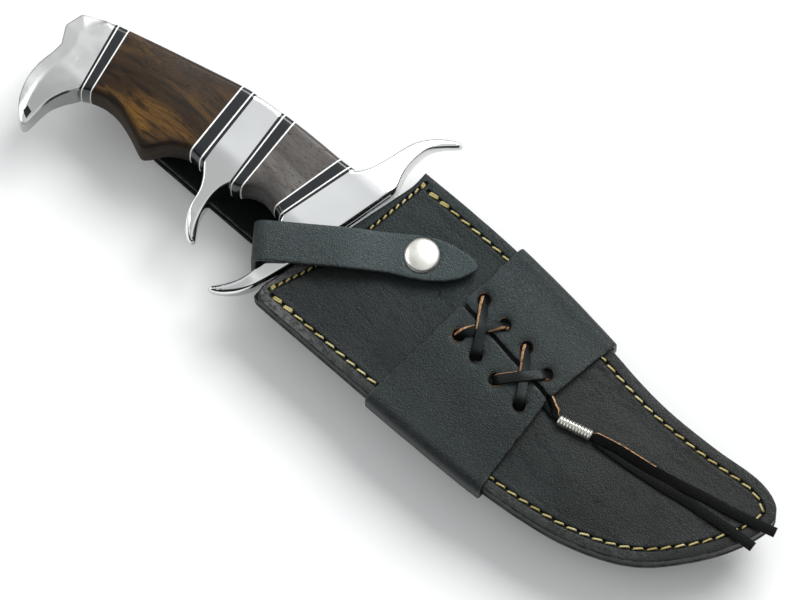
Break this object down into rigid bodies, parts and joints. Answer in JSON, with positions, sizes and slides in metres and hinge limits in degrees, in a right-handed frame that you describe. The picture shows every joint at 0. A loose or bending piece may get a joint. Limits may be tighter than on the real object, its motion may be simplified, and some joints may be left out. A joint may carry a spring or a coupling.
{
  "type": "sheathed hunting knife",
  "caption": "Hunting knife with sub-hilt and hooked pommel in a black leather sheath with belt loop, snap strap over the guard and laced leather band.",
  "frame": {"origin": "on the outer face of the belt loop, under the middle of the sheath's mouth", "axes": "+X along the sheath from its mouth to its tip, +Y towards the spine of the blade, +Z out of the sheath's front"},
  "size_m": [0.3593, 0.1123, 0.0416],
  "materials": {
    "back_panel": "black dyed vegetable-tanned leather, fine grain",
    "belt_loop": "black dyed vegetable-tanned leather, fine grain",
    "belt_loop_rivet_1": "plain bright steel",
    "belt_loop_rivet_2": "plain bright steel",
    "blade": "plain bright steel",
    "front_panel": "black dyed vegetable-tanned leather, fine grain",
    "front_wood_grip": "dark figured hardwood, oiled and polished",
    "guard": "polished stainless steel",
    "guard_fore_white_spacer": "polished white fibre spacer",
    "guard_rear_white_spacer": "polished white fibre spacer",
    "guard_thick_black_spacer": "polished black fibre spacer",
    "guard_thin_black_spacer": "polished black fibre spacer",
    "lace_ferrule": "plain bright steel",
    "lace_tail_lower": "black dyed vegetable-tanned leather, fine grain",
    "lace_tail_upper": "black dyed vegetable-tanned leather, fine grain",
    "lacing": "black dyed vegetable-tanned leather, fine grain",
    "lacing_band": "black dyed vegetable-tanned leather, fine grain",
    "mouth_stitching": "waxed yellow thread, lock stitch",
    "pommel": "polished stainless steel",
    "pommel_fore_white_spacer": "polished white fibre spacer",
    "pommel_pin": "plain bright steel",
    "pommel_rear_white_spacer": "polished white fibre spacer",
    "pommel_thick_black_spacer": "polished black fibre spacer",
    "pommel_thin_black_spacer": "polished black fibre spacer",
    "rear_grip_fore_white_spacer": "polished white fibre spacer",
    "rear_grip_rear_white_spacer": "polished white fibre spacer",
    "rear_grip_thick_black_spacer": "polished black fibre spacer",
    "rear_grip_thin_black_spacer": "polished black fibre spacer",
    "rear_wood_grip": "dark figured hardwood, oiled and polished",
    "rim_stitching_back": "waxed yellow thread, lock stitch",
    "rim_stitching_front": "waxed yellow thread, lock stitch",
    "snap_cap": "polished stainless steel",
    "snap_post": "plain bright steel",
    "snap_socket": "plain bright steel",
    "snap_stud": "plain bright steel",
    "strap_flap": "black dyed vegetable-tanned leather, fine grain",
    "strap_fold": "black dyed vegetable-tanned leather, fine grain",
    "strap_root": "black dyed vegetable-tanned leather, fine grain",
    "strap_root_rivet": "plain bright steel",
    "sub_guard": "polished stainless steel",
    "sub_guard_fore_white_spacer": "polished white fibre spacer",
    "sub_guard_rear_white_spacer": "polished white fibre spacer",
    "sub_guard_thick_black_spacer": "polished black fibre spacer",
    "sub_guard_thin_black_spacer": "polished black fibre spacer",
    "tang_nut": "plain bright steel",
    "tang_washer": "plain bright steel",
    "welt": "black dyed vegetable-tanned leather, fine grain"
  },
  "bodies": {
    "sheath": {"back_panel": "back_panel", "belt_loop": "belt_loop", "belt_loop_rivet_1": "belt_loop_rivet_1", "belt_loop_rivet_2": "belt_loop_rivet_2", "front_panel": "front_panel", "lace_ferrule": "lace_ferrule", "lace_tail_lower": "lace_tail_lower", "lace_tail_upper": "lace_tail_upper", "lacing": "lacing", "lacing_band": "lacing_band", "mouth_stitching": "mouth_stitching", "rim_stitching_back": "rim_stitching_back", "rim_stitching_front": "rim_stitching_front", "snap_post": "snap_post", "snap_stud": "snap_stud", "strap_root": "strap_root", "strap_root_rivet": "strap_root_rivet", "welt": "welt"},
    "knife": {"blade": "blade", "guard": "guard", "sub_guard": "sub_guard", "pommel": "pommel", "tang_nut": "tang_nut", "tang_washer": "tang_washer", "pommel_pin": "pommel_pin", "rear_wood_grip": "rear_wood_grip", "front_wood_grip": "front_wood_grip", "pommel_thin_black_spacer": "pommel_thin_black_spacer", "pommel_thick_black_spacer": "pommel_thick_black_spacer", "rear_grip_thin_black_spacer": "rear_grip_thin_black_spacer", "rear_grip_thick_black_spacer": "rear_grip_thick_black_spacer", "sub_guard_thin_black_spacer": "sub_guard_thin_black_spacer", "sub_guard_thick_black_spacer": "sub_guard_thick_black_spacer", "guard_thin_black_spacer": "guard_thin_black_spacer", "guard_thick_black_spacer": "guard_thick_black_spacer", "pommel_rear_white_spacer": "pommel_rear_white_spacer", "pommel_fore_white_spacer": "pommel_fore_white_spacer", "rear_grip_rear_white_spacer": "rear_grip_rear_white_spacer", "rear_grip_fore_white_spacer": "rear_grip_fore_white_spacer", "sub_guard_rear_white_spacer": "sub_guard_rear_white_spacer", "sub_guard_fore_white_spacer": "sub_guard_fore_white_spacer", "guard_rear_white_spacer": "guard_rear_white_spacer", "guard_fore_white_spacer": "guard_fore_white_spacer"},
    "strap_fold": {"strap_fold": "strap_fold"},
    "strap_flap": {"strap_flap": "strap_flap", "snap_cap": "snap_cap", "snap_socket": "snap_socket"}
  },
  "joints": [
    {"name": "knife_draw", "type": "slide", "parent": "sheath", "child": "knife", "axis": [-1, 0, 0], "range_m": [0, 0.258]},
    {"name": "strap_fold_hinge", "type": "hinge", "parent": "sheath", "child": "strap_fold", "pos_m": [-0.0231, -0.02502, 0.0133], "axis": [0.5878, -0.809, 0], "range_deg": [0, 45]},
    {"name": "strap_flap_hinge", "type": "hinge", "parent": "strap_fold", "child": "strap_flap", "pos_m": [-0.0231, -0.02502, 0.0402], "axis": [0.5878, -0.809, 0], "range_deg": [0, 90]}
  ],
  "couplings": [
    {"joint": "strap_flap_hinge", "follows": "strap_fold_hinge", "ratio": 2}
  ]
}
